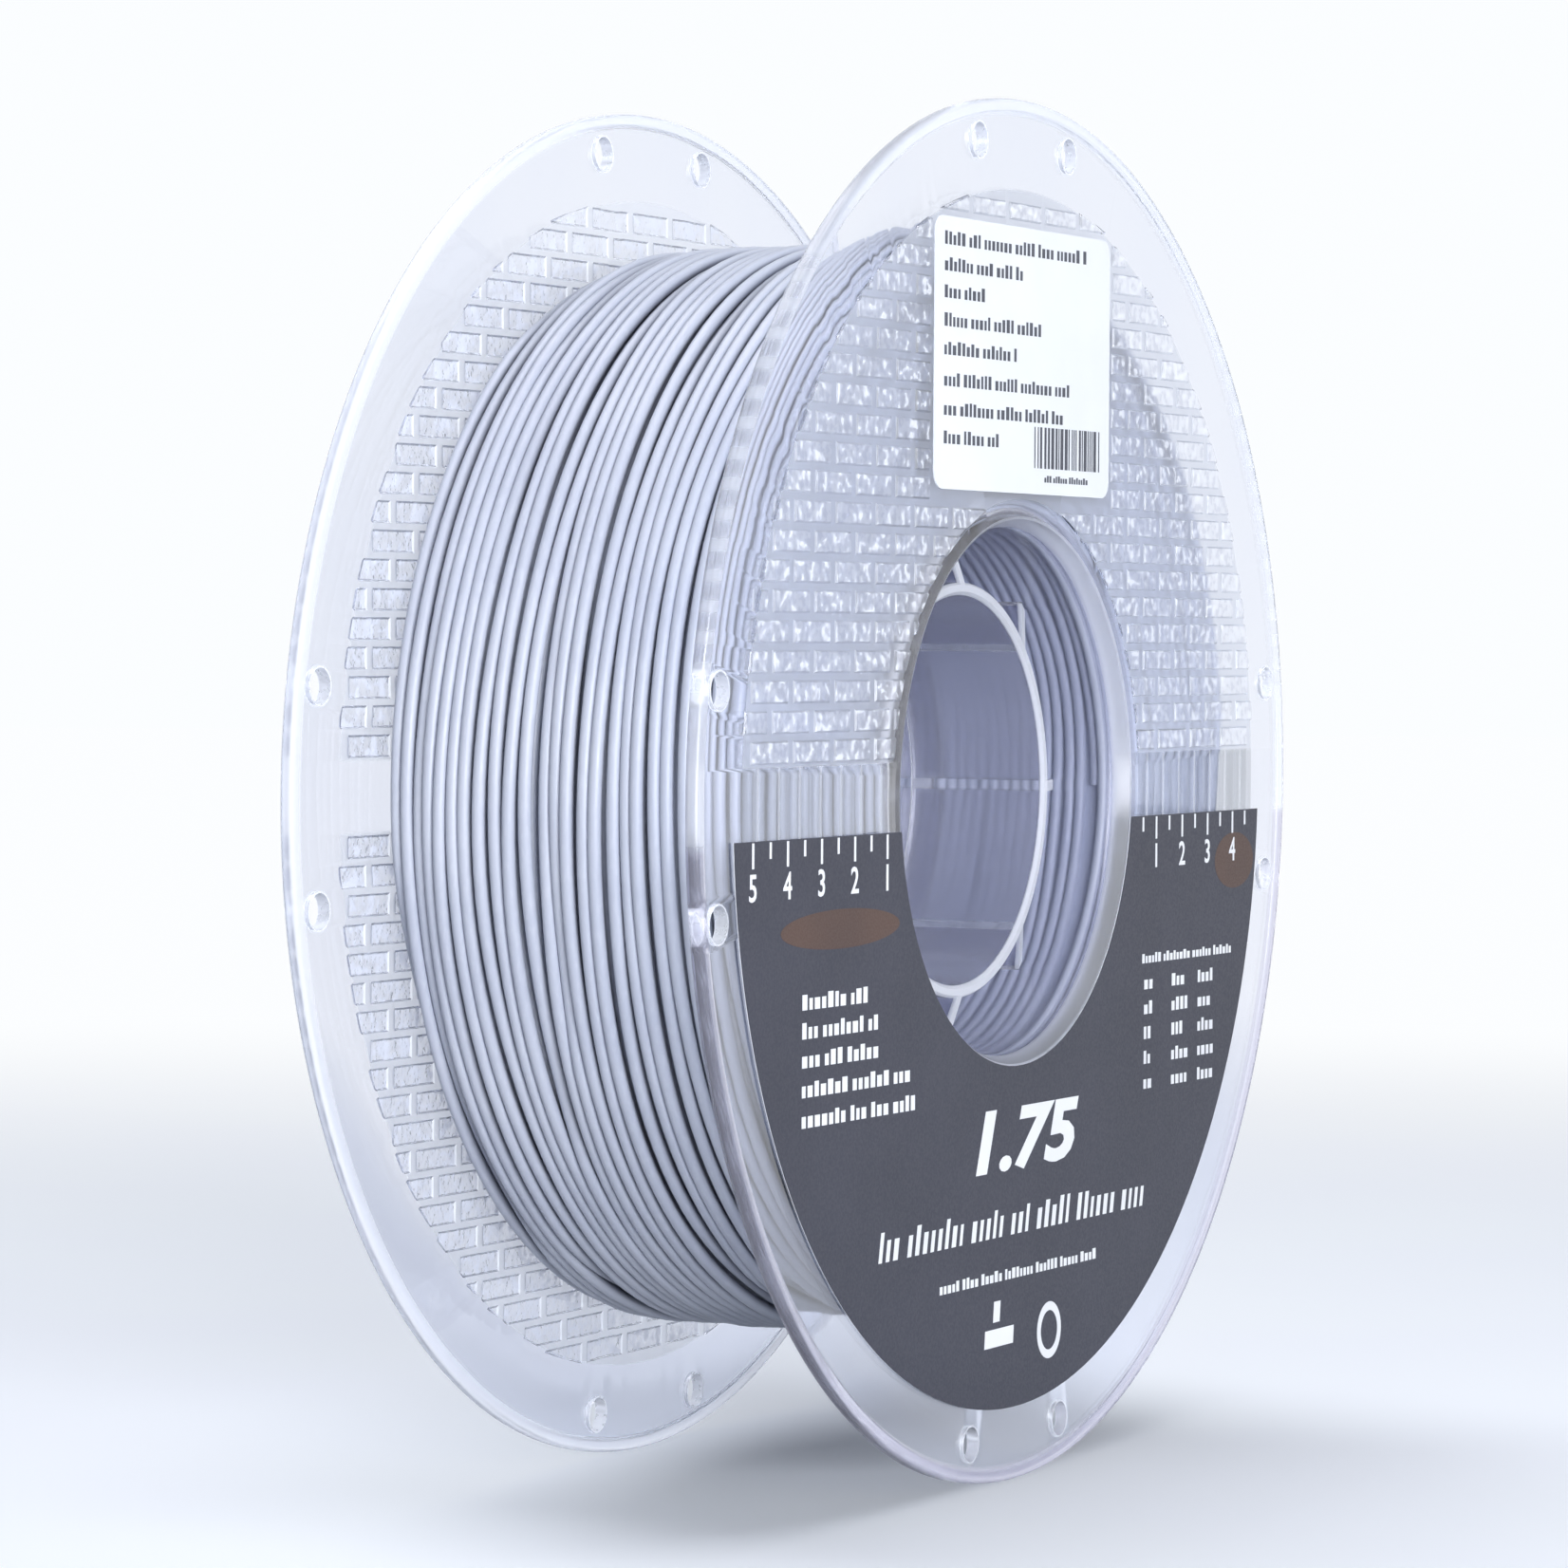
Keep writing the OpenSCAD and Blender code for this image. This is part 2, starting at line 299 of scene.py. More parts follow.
def cut_rect(rect, hole):
    """The parts of rect (x0, z0, x1, z1) outside hole."""
    x0, z0, x1, z1 = rect
    hx0, hz0, hx1, hz1 = hole
    if x1 <= hx0 or x0 >= hx1 or z1 <= hz0 or z0 >= hz1:
        return [rect]
    out = []
    if z0 < hz0:
        out.append((x0, z0, x1, hz0))
    if z1 > hz1:
        out.append((x0, hz1, x1, z1))
    low, high = max(z0, hz0), min(z1, hz1)
    if x0 < hx0:
        out.append((x0, low, hx0, high))
    if x1 > hx1:
        out.append((hx1, low, x1, high))
    return out


def brick_rects(lower, hole=None):
    """Bricks of a running bond above the sight strip, and below it where lower is true."""
    half, half_x = MORTAR_LEVEL / 2, MORTAR_UPRIGHT / 2
    rows = int((TILES_OUT_R - STRIP_HALF) / TILE_H) + 1
    columns = int(TILES_OUT_R / TILE_L) + 1
    rects = []
    for side in ((1, -1) if lower else (1,)):
        for row in range(rows):
            z0, z1 = STRIP_HALF + row * TILE_H, STRIP_HALF + (row + 1) * TILE_H
            low, high = sorted((side * z0, side * z1))
            shift = 0.5 * (row % 2)
            for column in range(-columns - 1, columns + 1):
                x0, x1 = (column + shift) * TILE_L, (column + 1 + shift) * TILE_L
                rect = (x0 + half_x, low + half, x1 - half_x, high - half)
                rects += cut_rect(rect, hole) if hole else [rect]
    return rects


def clipped(outline, nx, nz, reach):
    """The part of a convex outline on the near side of the line nx * x + nz * z = reach."""
    kept = []
    for (ax, az), (bx, bz) in zip(outline, outline[1:] + outline[:1]):
        da, db = nx * ax + nz * az - reach, nx * bx + nz * bz - reach
        if da <= 0:
            kept.append((ax, az))
        if (da < 0 < db) or (db < 0 < da):
            t = da / (da - db)
            kept.append((ax + (bx - ax) * t, az + (bz - az) * t))
    return kept


def brick_outline(rect):
    """A brick's foot, cut by the ring's outer and inner edge, or None if too little is left."""
    x0, z0, x1, z1 = rect
    outline = [(x0, z0), (x1, z0), (x1, z1), (x0, z1)]
    angles = sorted(math.atan2(z, x) for x, z in outline)
    steps = 5
    for i in range(steps + 1):
        a = angles[0] + (angles[-1] - angles[0]) * i / steps
        outline = clipped(outline, math.cos(a), math.sin(a), TILES_OUT_R) if outline else []
    centre = math.atan2((z0 + z1) / 2, (x0 + x1) / 2)
    if outline and min(math.hypot(x, z) for x, z in outline) < TILES_IN_R + TILE_L / 2:
        outline = clipped(outline, -math.cos(centre), -math.sin(centre), -TILES_IN_R)
    if not outline:
        return None
    spans = [max(p[k] for p in outline) - min(p[k] for p in outline) for k in (0, 1)]
    return outline if min(spans) > 5 * TILE_SLOPE else None


def brick_parts(lower, hole=None):
    """Raised bricks with sloped edges, each a closed block that reaches into the flange."""
    parts = []
    face = -HALF_W + FACE_RECESS
    for rect in brick_rects(lower, hole):
        foot = brick_outline(rect)
        if foot is None:
            continue
        low = [min(p[k] for p in foot) for k in (0, 1)]
        high = [max(p[k] for p in foot) for k in (0, 1)]
        mid = [(low[k] + high[k]) / 2 for k in (0, 1)]
        keep = [1 - 2 * TILE_SLOPE / (high[k] - low[k]) for k in (0, 1)]
        top = [(mid[0] + (x - mid[0]) * keep[0], mid[1] + (z - mid[1]) * keep[1]) for x, z in foot]
        size = len(foot)
        levels = [(foot, face + 0.3 * MM), (foot, face), (top, face - TILE_RISE)]
        verts = [(x, y, z) for outline, y in levels for x, z in outline]
        faces = [tuple(range(size)), tuple(range(3 * size - 1, 2 * size - 1, -1))]
        for level in range(2):
            faces += band(level * size, (level + 1) * size, size, turned=True)
        parts.append((verts, faces))
    return merged(parts)


def spool_half(name, front):
    """One clear half: flange with brick relief, drum, sleeve, ribs and its part of the snap joint."""
    steps = 256
    to_y = [(r, d - HALF_W) for r, d in flange_profile()]
    half = add_mesh(name, *spun(to_y, steps))
    outward(half)
    if not front:
        boolean(half, "DIFFERENCE", *mirrored_part(spun(socket_profile(), steps)))
    boolean(half, "UNION", *spun([(r, d - HALF_W) for r, d in sleeve_profile()], steps))
    rib_end = HALF_W - (HUB_GAP if front else FINGER_L)
    boolean(half, "UNION", *rib_parts(DRUM_IR + 0.3 * MM, SLEEVE_DEPTH, rib_end, RIB_DROP))
    if front:
        boolean(half, "UNION", *finger_parts())
    else:
        # The rear ribs go on past the socket, between the fingers
        reach = DRUM_IR + FINGER_T + FINGER_FIT + BARB_H + 0.3 * MM
        boolean(half, "UNION", *rib_parts(reach, HALF_W - FINGER_L - 1 * MM, HALF_W - HUB_GAP, 0))
    boolean(half, "DIFFERENCE", *hole_parts())
    edge = MORTAR_LEVEL
    note = (note_low.x - edge, note_low.z - edge, note_high.x + edge, note_high.z + edge)
    boolean(half, "UNION", *brick_parts(lower=not front, hole=note if front else None))
    if not front:
        half.data.transform(Matrix.Scale(-1, 4, (0, 1, 0)))
        half.data.flip_normals()
    shade_smooth(half, MOULDED_SMOOTH)
    return half


def mirrored_part(part):
    """A part mirrored across the spool's middle plane."""
    verts, faces = part
    return [(x, -y, z) for x, y, z in verts], [face[::-1] for face in faces]


# ---- filament
TURN_STEPS = 120
STRAND_SIDES = 10
LAYER_RISE = 1.6 * MM
SIDE_RISE = 1.62 * MM
FIRST_LAYER_R = 43.0 * MM
TOP_R = COIL_R - 0.99 * MM
UNDER_R = TOP_R - LAYER_RISE
INNER_R = DRUM_OR + 0.3 * MM + STRAND_D / 2
WALL_GAP = 0.15 * MM
# Turns of each strand, where round the axis it starts, and the seeds of its random places
TOP_TURNS, UNDER_TURNS, INNER_TURNS = 25.6, 26.0, 27.0
TOP_START, UNDER_START = 0.97, 0.9
TOP_SEED, UNDER_SEED, INNER_SEED = 7, 11, 3
WAVE_SEED, SINK_SEED, SIDE_SEED = 21, 23, 5
# The ends of the top strand go under over this part of a turn
DIVE_SPAN, DIVE_DEPTH = 0.06, 2.2 * MM
DROOP_Y = 20 * MM
EDGE_DROOP = 2.4 * MM
# Open gaps between turns: their reach in turns, how softly they end, and their width
GAP_SPAN = 0.09
GAP_EDGE = 0.5
OPEN_GAP = 1.1 * MM
# Top turns are drawn a little full, so that they touch; some sink, over this part of a turn and this deep
FULL_D = 1.94 * MM
SINK_SPAN = 0.12
SINK_DEPTH = 1.0 * MM
UNDER_DROP = 0.45 * MM
UNEVEN = 0.2 * MM
# Buried turns at the flanges: every second one stands back, and all sway a little round the spool
SIDE_BACK, SIDE_SWAY, SIDE_RIPPLE = 0.9 * MM, 0.3 * MM, 0.12 * MM
INNER_BACK = 2.4 * MM
BODY_BACK = 2.2 * MM


def smooth_step(t):
    """The smooth step from 0 to 1 of values or arrays."""
    t = np.clip(t, 0, 1)
    return t * t * (3 - 2 * t)


def noise_along(samples, span, seed):
    """Smooth random levels, about -2 to 2, that change over span turns along a strand."""
    knots = np.random.RandomState(seed).standard_normal(int(samples / TURN_STEPS / span) + 3)
    at = np.arange(samples) / TURN_STEPS / span
    first = at.astype(int)
    return knots[first] + (knots[first + 1] - knots[first]) * smooth_step(at - first)


def wound_path(low, high, turns, seed):
    """Axial position of one wound strand at TURN_STEPS samples a turn.

    Most turns touch the last one. Here and there a gap opens between two turns for part of the way round.
    At every angle the open gaps add up to the width that touching turns would leave.
    """
    n, rounds = TURN_STEPS, math.ceil(turns) + 1
    level = noise_along(rounds * n, GAP_SPAN, seed).reshape(rounds, n)
    spare = high - low - turns * STRAND_D
    under, over = np.full(n, -4.0), np.full(n, 4.0)
    for _ in range(30):
        bar = (under + over) / 2
        gaps = OPEN_GAP * smooth_step((level - bar) / GAP_EDGE)
        wide = gaps[:-1].sum(axis=0) > spare
        under, over = np.where(wide, bar, under), np.where(wide, over, bar)
    start = low + (STRAND_D + gaps[0, 0]) * np.arange(n) / n
    y = start + np.vstack([np.zeros((1, n)), np.cumsum(STRAND_D + gaps[:-1], axis=0)])
    s = np.arange(int(turns * n) + 1) / n
    return s, settled(y.ravel()[:len(s)], low, high)


def settled(y, low, high):
    """Smooths the path, keeps its turns a strand's width apart and between the flanges."""
    n = TURN_STEPS
    kernel = np.array([1, 2, 1]) / 4
    for _ in range(40):
        push = np.clip(STRAND_D - (y[n:] - y[:-n]), 0, None) / 2
        y[n:] += push
        y[:-n] -= push
        y = np.clip(np.convolve(np.pad(y, 1, mode="edge"), kernel, mode="valid"), low, high)
    return y


def swept(centre, out, side, sides, diameter=STRAND_D):
    """Vertices of round sections at the points centre, in the planes of the unit vectors out and side."""
    b = 2 * math.pi * np.arange(sides) / sides
    ring = np.cos(b)[None, :, None] * out[:, None, :] + np.sin(b)[None, :, None] * side[:, None, :]
    return (centre[:, None, :] + diameter / 2 * ring).reshape(-1, 3)


def tube(s, r, y, sides=STRAND_SIDES, diameter=STRAND_D):
    """A closed tube round the path at radius r and axial place y, s turns round the axis."""
    a = 2 * math.pi * s
    centre = np.stack([r * np.cos(a), y, r * np.sin(a)], 1)
    radial = np.stack([np.cos(a), 0 * a, np.sin(a)], 1)
    tangent = np.gradient(centre, axis=0)
    tangent /= np.linalg.norm(tangent, axis=1)[:, None]
    side = np.cross(tangent, radial)
    side /= np.linalg.norm(side, axis=1)[:, None]
    verts = swept(centre, np.cross(side, tangent), side, sides, diameter)
    faces = []
    for i in range(len(s) - 1):
        faces += band(i * sides, (i + 1) * sides, sides)
    faces += [tuple(range(sides))[::-1], tuple(range((len(s) - 1) * sides, len(s) * sides))]
    return verts, faces


def ring_tube(r, y, sides=8):
    """A closed loop of strand at radius r, with its axial place y at each of its steps."""
    steps = len(y)
    a = 2 * math.pi * np.arange(steps) / steps
    radial = np.stack([np.cos(a), 0 * a, np.sin(a)], 1)
    centre = radial * r + np.stack([0 * a, y, 0 * a], 1)
    verts = swept(centre, radial, np.array([[0, 1, 0]]), sides)
    faces = []
    for i in range(steps):
        faces += band(i * sides, (i + 1) % steps * sides, sides)
    return verts, faces


def coil_wall(r):
    """Axial place, from the middle plane, of the flange's inner face at radius r."""
    return HALF_W - inner_depth(r) - WALL_GAP


def top_layer():
    """The outermost strand: its turns sink and droop a little here and there, and its ends go under."""
    edge = coil_wall(TOP_R) - STRAND_D / 2
    s, y = wound_path(-edge, edge - 1.0 * MM, TOP_TURNS, seed=TOP_SEED)
    draw = random.Random(WAVE_SEED)
    waves = [(draw.uniform(0.6, 3.4), draw.uniform(0, 6.3)) for _ in range(6)]
    wave = np.clip(0.4 * sum(np.sin(2 * math.pi * f * s + p) for f, p in waves), -1, 1)
    dive = smooth_step((s - (s[-1] - DIVE_SPAN)) / DIVE_SPAN) + smooth_step((DIVE_SPAN - s) / DIVE_SPAN)
    droop = EDGE_DROOP * smooth_step((np.abs(y) - DROOP_Y) / (HALF_W - DROOP_Y))
    # Looser, so more sunk, low on the spool and tighter on the left
    turn = 2 * math.pi * (s + TOP_START)
    loose = 1 + 1.3 * np.clip(-np.sin(turn), 0, 1) - 0.4 * np.clip(-np.cos(turn), 0, 1)
    sink = SINK_DEPTH * loose * smooth_step((noise_along(len(s), SINK_SPAN, SINK_SEED) - 0.3) / 1.4)
    r = TOP_R - UNEVEN * (1 + wave) - sink - dive * DIVE_DEPTH - droop
    return tube(s + TOP_START, r, y, diameter=FULL_D)


def under_layer():
    """The layer that shows in the top layer's gaps, wound the other way."""
    edge = coil_wall(UNDER_R) - STRAND_D / 2
    s, y = wound_path(-edge, edge, UNDER_TURNS, seed=UNDER_SEED)
    droop = EDGE_DROOP * smooth_step((np.abs(y) - DROOP_Y) / (HALF_W - DROOP_Y))
    r = UNDER_R - 2 * UNEVEN - UNDER_DROP - droop
    return tube(s + UNDER_START, r, -y, sides=8)


def side_rings():
    """The last turns of the buried layers, as they lie against both flanges."""
    steps = 120
    a = 2 * math.pi * np.arange(steps) / steps
    draw = random.Random(SIDE_SEED)
    parts = []
    layers = int((UNDER_R - EDGE_DROOP - FIRST_LAYER_R) / SIDE_RISE)
    for end in (-1, 1):
        for k in range(-1, layers):
            r = FIRST_LAYER_R + k * SIDE_RISE
            phase, phase2 = draw.uniform(0, 6.3), draw.uniform(0, 6.3)
            back = SIDE_BACK * (k % 2) + SIDE_SWAY * (1 + np.sin(a + phase)) / 2
            back = back + SIDE_RIPPLE * (1 + np.sin(3 * a + phase2))
            y = coil_wall(r) - STRAND_D / 2 - back
            parts.append(ring_tube(r, end * y))
    return merged(parts)


def inner_layer():
    """The first turns on the drum, which show through it from inside the hub."""
    edge = coil_wall(INNER_R) - STRAND_D / 2 - INNER_BACK
    s, y = wound_path(-edge, edge, INNER_TURNS, seed=INNER_SEED)
    return tube(s[::2], np.full(len(s[::2]), INNER_R), y[::2], sides=8)


def coil_body():
    """The wound mass behind the strands that show."""
    low_r, high_r = INNER_R + 0.3 * MM, UNDER_R - 2 * UNEVEN - UNDER_DROP - 0.3 * MM
    inner, outer = coil_wall(low_r) - BODY_BACK, coil_wall(high_r) - BODY_BACK
    edge_r = high_r - 0.7 * EDGE_DROOP
    return spun([(low_r, -inner), (edge_r, -outer), (high_r, -DROOP_Y), (high_r, DROOP_Y), (edge_r, outer),
                 (low_r, inner)], 128)


# ---- print on the labels
PRINT_T = 0.03 * MM


def oval(cx, cz, rx, rz, steps=40):
    """Outline of an oval."""
    return [(cx + rx * math.cos(2 * math.pi * i / steps), cz + rz * math.sin(2 * math.pi * i / steps))
            for i in range(steps)]


def bar(x0, z0, x1, z1, slant=0.0):
    """A four-sided mark, leaning by slant times its height."""
    lean = slant * (z1 - z0)
    return [(x0, z0), (x1, z0), (x1 + lean, z1), (x0 + lean, z1)]


def word_row(x0, x1, z, height, seed, slant=0.0, weight=0.62):
    """A row of short marks in word-like groups: it stands for a line of print without being one."""
    draw = random.Random(seed)
    marks, x = [], x0
    while x < x1 - 0.4 * height:
        for _ in range(draw.randint(3, 8)):
            width = height * weight * draw.uniform(0.7, 1.15)
            if x + width > x1:
                break
            tall = height * draw.choice((0.72, 0.72, 0.72, 1.0, 0.95))
            marks.append(bar(x, z, x + width, z + tall, slant))
            x += width + 0.28 * height
        x += 0.45 * height
    return marks


def figures(text, x, z, height, slant=0.0, weight=0.02, wide=1.0):
    """Plain figures centred on x, standing on z, as (verts, faces) in the print's plane."""
    curve = bpy.data.curves.new("figures", "FONT")
    curve.body = text
    curve.size = height / 0.7
    curve.align_x = "CENTER"
    curve.shear = slant
    curve.offset = height * weight
    curve.extrude = PRINT_T / 2
    curve.resolution_u = 3
    obj = bpy.data.objects.new("figures", curve)
    bpy.context.scene.collection.objects.link(obj)
    mesh = bpy.data.meshes.new_from_object(obj.evaluated_get(bpy.context.evaluated_depsgraph_get()))
    verts = [(v.co.x * wide + x, -v.co.z, v.co.y + z) for v in mesh.vertices]
    faces = [tuple(p.vertices) for p in mesh.polygons]
    bpy.data.objects.remove(obj)
    bpy.data.curves.remove(curve)
    bpy.data.meshes.remove(mesh)
    return verts, faces


def mm(points):
    """Points from millimetres to metres."""
    return [(x * MM, z * MM) for x, z in points]


def printed(outlines, surface_y, extra=()):
    """Marks, with outlines in mm, as thin raised ink on a label's outer face."""
    parts = [extruded(mm(o), surface_y - PRINT_T, surface_y) for o in outlines]
    middle = surface_y - PRINT_T / 2
    parts += [([(x, y + middle, z) for x, y, z in verts], faces) for verts, faces in extra]
    return merged(parts)


# Places along X, in mm, of the scale's ticks and of its figures
TICKS = [start + 5.0 * k for start in (-84.0, 44.0) for k in range(9)]
FIGURES = [(5 - k, -84.0 + 10.0 * k) for k in range(5)] + [(1 + k, 49.0 + 10.0 * k) for k in range(4)]
# Lines of print, in mm: (height, end along X) of the left block and of the note, and the table's columns
LEFT_LINES = ((-27.8, -49.6), (-31.7, -45.1), (-35.6, -46.5), (-39.6, -36.0), (-43.7, -34.5))
TABLE_COLUMNS = (44.8, 55.4, 65.6)
NOTE_LINES = ((77.6, 21.4), (73.9, -0.9), (70.1, -13.1), (66.1, 6.5), (62.1, -2.7), (57.7, 16.7),
              (53.6, 14.0), (49.6, -7.9))


def label_marks():
    """Ticks, figures, rows of marks and an icon of two bars on the dark label; places are in mm."""
    rows = []
    for k, x in enumerate(TICKS):
        reach = 3.4 if k % 2 == 0 else 2.2
        rows.append(bar(x - 0.3, -4.9 - reach, x + 0.3, -4.9))
    for k, (z, end) in enumerate(LEFT_LINES):
        rows += word_row(-69.5, end, z, 2.2, 30 + k)
    rows += word_row(44.0, 79.0, -27.2, 1.5, 40)
    for line in range(5):
        z = -31.2 - 3.8 * line
        for k, x in enumerate(TABLE_COLUMNS):
            end = x + (4.0 if k == 0 else 6.6)
            rows += word_row(x, end, z, 2.0, 50 + 3 * line + k)
    rows += word_row(-46.0, 46.6, -64.2, 4.2, 70, slant=0.2, weight=0.3)
    rows += word_row(-26.4, 27.5, -70.6, 1.6, 71)
    rows.append(bar(-11.5, -80.0, -1.8, -77.4, 0.1))
    rows.append(bar(-8.6, -76.4, -6.4, -73.4, 0.1))
    extra = [figures(str(n), x * MM, -12.6 * MM, 3.6 * MM) for n, x in FIGURES]
    extra.append(figures("1.75", 0.4 * MM, -54.3 * MM, 8.4 * MM, slant=0.2, weight=0.05, wide=1.8))
    return printed(rows, LABEL_Y, extra)


def ring_mark(cx, cz, outer, inner, steps=40):
    """A flat ring, as an icon in raised print."""
    verts, faces = [], []
    for i in range(steps):
        a = 2 * math.pi * i / steps
        for r, rise in ((outer, 0), (outer, PRINT_T), (inner, PRINT_T), (inner, 0)):
            verts.append((cx + r * math.cos(a), LABEL_Y - rise, cz + r * math.sin(a)))
        faces += band(4 * i, 4 * ((i + 1) % steps), 4)
    return verts, faces


def label_accents():
    """The two plain coloured patches under the scale."""
    patches = mm(oval(-58.0, -17.3, 18.0, 2.7)), mm(oval(79.8, -12.6, 7.8, 4.4))
    return merged([extruded(patch, LABEL_Y - PRINT_T / 2, LABEL_Y) for patch in patches])


def note_marks():
    """Rows of marks and a block of stripes on the white label; places are in mm."""
    rows = []
    for k, (z, end) in enumerate(NOTE_LINES):
        rows += word_row(-27.0, end, z, 1.9, 80 + k, weight=0.5)
    draw = random.Random(90)
    x = 3.4
    while x < 26.4:
        width = draw.choice((0.35, 0.35, 0.7, 1.0))
        rows.append(bar(x, 47.0, x + width, 53.0))
        x += width + draw.choice((0.35, 0.5, 0.8))
    rows += word_row(7.0, 23.0, 45.0, 1.0, 91)
    return printed(rows, note_low.y)


# ---- node helpers
def new_material(name):
    """An empty node material, with its tree and its output."""
    mat = bpy.data.materials.new(name)
    mat.use_nodes = True
    mat.node_tree.nodes.clear()
    return mat, mat.node_tree, mat.node_tree.nodes.new("ShaderNodeOutputMaterial")


def node(tree, kind, **values):
    """A node with its properties and plain socket values set; sockets go by name with _ for a space."""
    made = tree.nodes.new("ShaderNode" + kind)
    for key, value in values.items():
        if hasattr(made, key):
            setattr(made, key, value)
        else:
            made.inputs[key.replace("_", " ")].default_value = value
    return made


def maths(tree, operation, *values):
    """Math on sockets and plain numbers, more than two of them taken in turn; returns the output."""
    made = tree.nodes.new("ShaderNodeMath")
    made.operation = operation
    for socket, value in zip(made.inputs, values):
        if isinstance(value, (int, float)):
            socket.default_value = value
        else:
            tree.links.new(value, socket)
    result = made.outputs[0]
    return maths(tree, operation, result, *values[2:]) if len(values) > 2 else result


def product(tree, *values):
    """The product of two or more."""
    return maths(tree, "MULTIPLY", *values)


def total(tree, *values):
    """The sum of two or more."""
    return maths(tree, "ADD", *values)


def largest(tree, *values):
    """The largest of two or more."""
    return maths(tree, "MAXIMUM", *values)


def inverse(tree, share):
    """What a share leaves of one."""
    return maths(tree, "SUBTRACT", 1.0, share)


def diagonal(tree, across, along):
    """Length of the diagonal over two sides."""
    return maths(tree, "SQRT", total(tree, product(tree, across, across), product(tree, along, along)))


def mapped(tree, value, low, high, to_low, to_high, smooth=True):
    """Maps a value from one range to another, held at the ends."""
    made = tree.nodes.new("ShaderNodeMapRange")
    made.interpolation_type = "SMOOTHSTEP" if smooth else "LINEAR"
    tree.links.new(value, made.inputs["Value"])
    for key, number in zip(("From Min", "From Max", "To Min", "To Max"), (low, high, to_low, to_high)):
        made.inputs[key].default_value = number
    return made.outputs["Result"]


def blended(tree, share, first, second):
    """Mixes two colours by a share; each is a socket or an RGB tuple."""
    made = tree.nodes.new("ShaderNodeMix")
    made.data_type = "RGBA"
    tree.links.new(share, made.inputs["Factor"])
    for socket, value in ((made.inputs[6], first), (made.inputs[7], second)):
        if isinstance(value, tuple):
            socket.default_value = (*value, 1)
        else:
            tree.links.new(value, socket)
    return made.outputs[2]


def mixed(tree, share, first, second):
    """Mixes two shaders by a share."""
    made = tree.nodes.new("ShaderNodeMixShader")
    for socket, value in zip(made.inputs, (share, first, second)):
        tree.links.new(value, socket)
    return made.outputs[0]


def coordinates(tree, kind="Object"):
    """The x, y and z of the object's own or generated coordinates."""
    split = tree.nodes.new("ShaderNodeSeparateXYZ")
    tree.links.new(tree.nodes.new("ShaderNodeTexCoord").outputs[kind], split.inputs["Vector"])
    return split.outputs[0], split.outputs[1], split.outputs[2]


def noise(tree, scale, detail=3.0, stretch=None):
    """Noise in the object's own coordinates, from 0 to 1; stretch scales each axis."""
    place = tree.nodes.new("ShaderNodeTexCoord").outputs["Object"]
    if stretch:
        mapping = node(tree, "Mapping", Scale=stretch)
        tree.links.new(place, mapping.inputs["Vector"])
        place = mapping.outputs["Vector"]
    made = node(tree, "TexNoise", Scale=scale, Detail=detail)
    tree.links.new(place, made.inputs["Vector"])
    return made.outputs["Fac"]


def mottle(tree, scale, detail=3.0):
    """Noise spread out to a share from 0 to 1."""
    return mapped(tree, noise(tree, scale, detail), 0.3, 0.7, 0, 1)


def bumped(tree, height, strength, distance, normal=None):
    """A bump of a height, on top of another normal if one is given."""
    made = node(tree, "Bump", Strength=strength, Distance=distance)
    tree.links.new(height, made.inputs["Height"])
    if normal:
        tree.links.new(normal, made.inputs["Normal"])
    return made.outputs["Normal"]


def surfaced(tree, colour, rough, normal, **values):
    """A principled shader with its colour, roughness and normal linked; returns its output."""
    body = node(tree, "BsdfPrincipled", **values)
    for name, socket in (("Base Color", colour), ("Roughness", rough), ("Normal", normal)):
        tree.links.new(socket, body.inputs[name])
    return body.outputs["BSDF"]


def seen_rays(tree):
    """1 for rays from the camera and by way of glossy and clear pieces, 0 for light on matt surfaces."""
    path = tree.nodes.new("ShaderNodeLightPath").outputs
    return largest(tree, path["Is Camera Ray"], path["Is Glossy Ray"], path["Is Transmission Ray"])


# ---- clear plastic
# Tints of the plastic; where there are two, the front half's comes first
CLEAR_TINTS = (0.855, 0.88, 0.975), (0.88, 0.90, 0.98)
# Painted shade: the plastic round the bore is tinted darker, where little light reaches it
HUB_PAINTED_SHADE_TINT = (0.69, 0.69, 0.775)
MORTAR_TINTS = (0.58, 0.62, 0.73), (0.90, 0.93, 0.985)
# Painted sparkle: tints of the dark specks that, with matt white specks, stand in for the glints of the
# pebbled brick faces
PAINTED_SPARKLE_TINTS = (0.56, 0.59, 0.71), (0.905, 0.925, 0.985)
FRONT_BRICK_TINT = (0.78, 0.81, 0.905)
STRIP_TINT = (0.505, 0.53, 0.59)
# Painted shade: the tint of the rim beside the dark label
PAINTED_LABEL_SHADE_TINT = (0.83, 0.82, 0.92)
SHADOW_TINT = (0.94, 0.95, 0.97, 1)
# Haze is matt white in the plastic; on the rim beside the dark label its colour is darker, which is
# painted shade of the label.
HAZE_COLOUR = (0.90, 0.93, 1.0)
PAINTED_LABEL_SHADE_HAZE = (0.50, 0.50, 0.63)
BRICK_HAZE, MOUTH_HAZE, FROST_HAZE, LINE_HAZE, RIM_HAZE, FOOT_HAZE = 0.16, 0.2, 0.5, 0.22, 0.288, 0.06
BRICK_ROUGH, HUB_ROUGH, FROST_ROUGH, RIM_ROUGH = 0.3, 0.2, 0.25, 0.16
# How matt the sleeve is next to the bricks, what the low front holes lose of their frost, how much the
# painted bars of the brick courses darken the rim, and what the rim keeps of its haze beside the dark
# label, where the lost haze is painted shade
SLEEVE_MATT, LOW_HOLE_LOSS, PAINTED_COURSE_SHADE, PAINTED_LABEL_SHADE_KEEP = 0.3, 0.45, 0.5, 0.8


